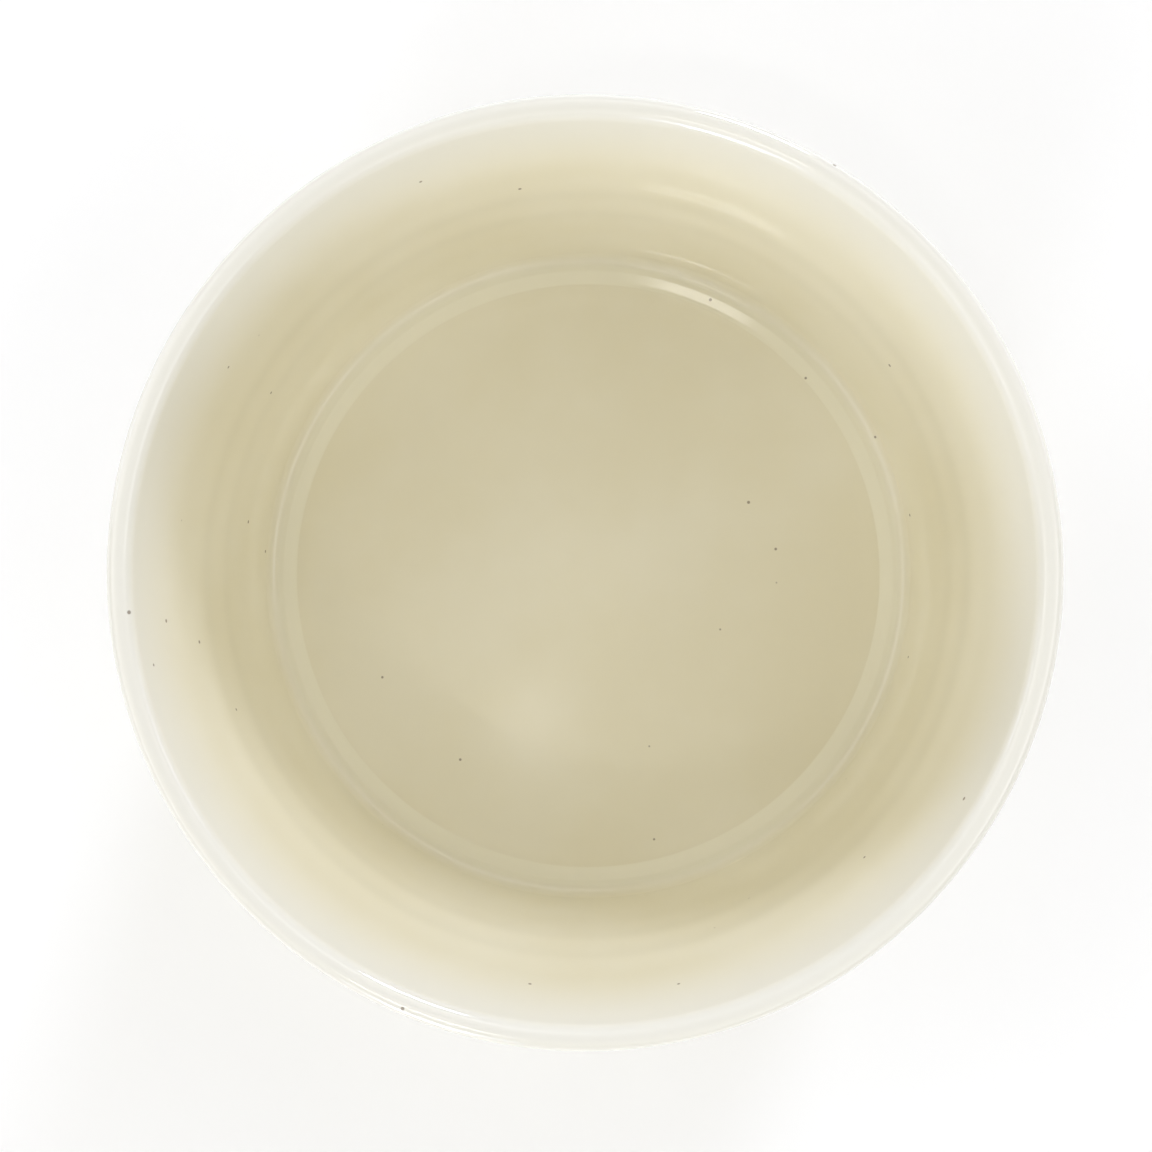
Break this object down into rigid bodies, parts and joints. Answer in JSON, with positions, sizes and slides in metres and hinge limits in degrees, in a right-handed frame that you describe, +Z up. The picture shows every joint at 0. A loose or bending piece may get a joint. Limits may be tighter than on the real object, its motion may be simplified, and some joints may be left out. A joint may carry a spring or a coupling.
{
  "type": "evaporating dish",
  "caption": "Straight-sided, flat-bottomed evaporating dish of glazed porcelain, with a round lip, a bare foot ring and no spout.",
  "frame": {"origin": "on the resting plane of the foot ring, on the dish's own axis", "axes": "+Z up along the dish's axis, towards the open mouth; X and Y are alike, because the dish is round"},
  "size_m": [0.1, 0.1, 0.045],
  "materials": {
    "bisque_porcelain": "fired unglazed porcelain, matt and slightly gritty",
    "cream_glaze": "smooth glossy cream glaze with a few pinholes and dark specks"
  },
  "bodies": {
    "root": {"porcelain_body": "bisque_porcelain", "inner_glaze": "cream_glaze", "outer_glaze": "cream_glaze"}
  },
  "joints": []
}
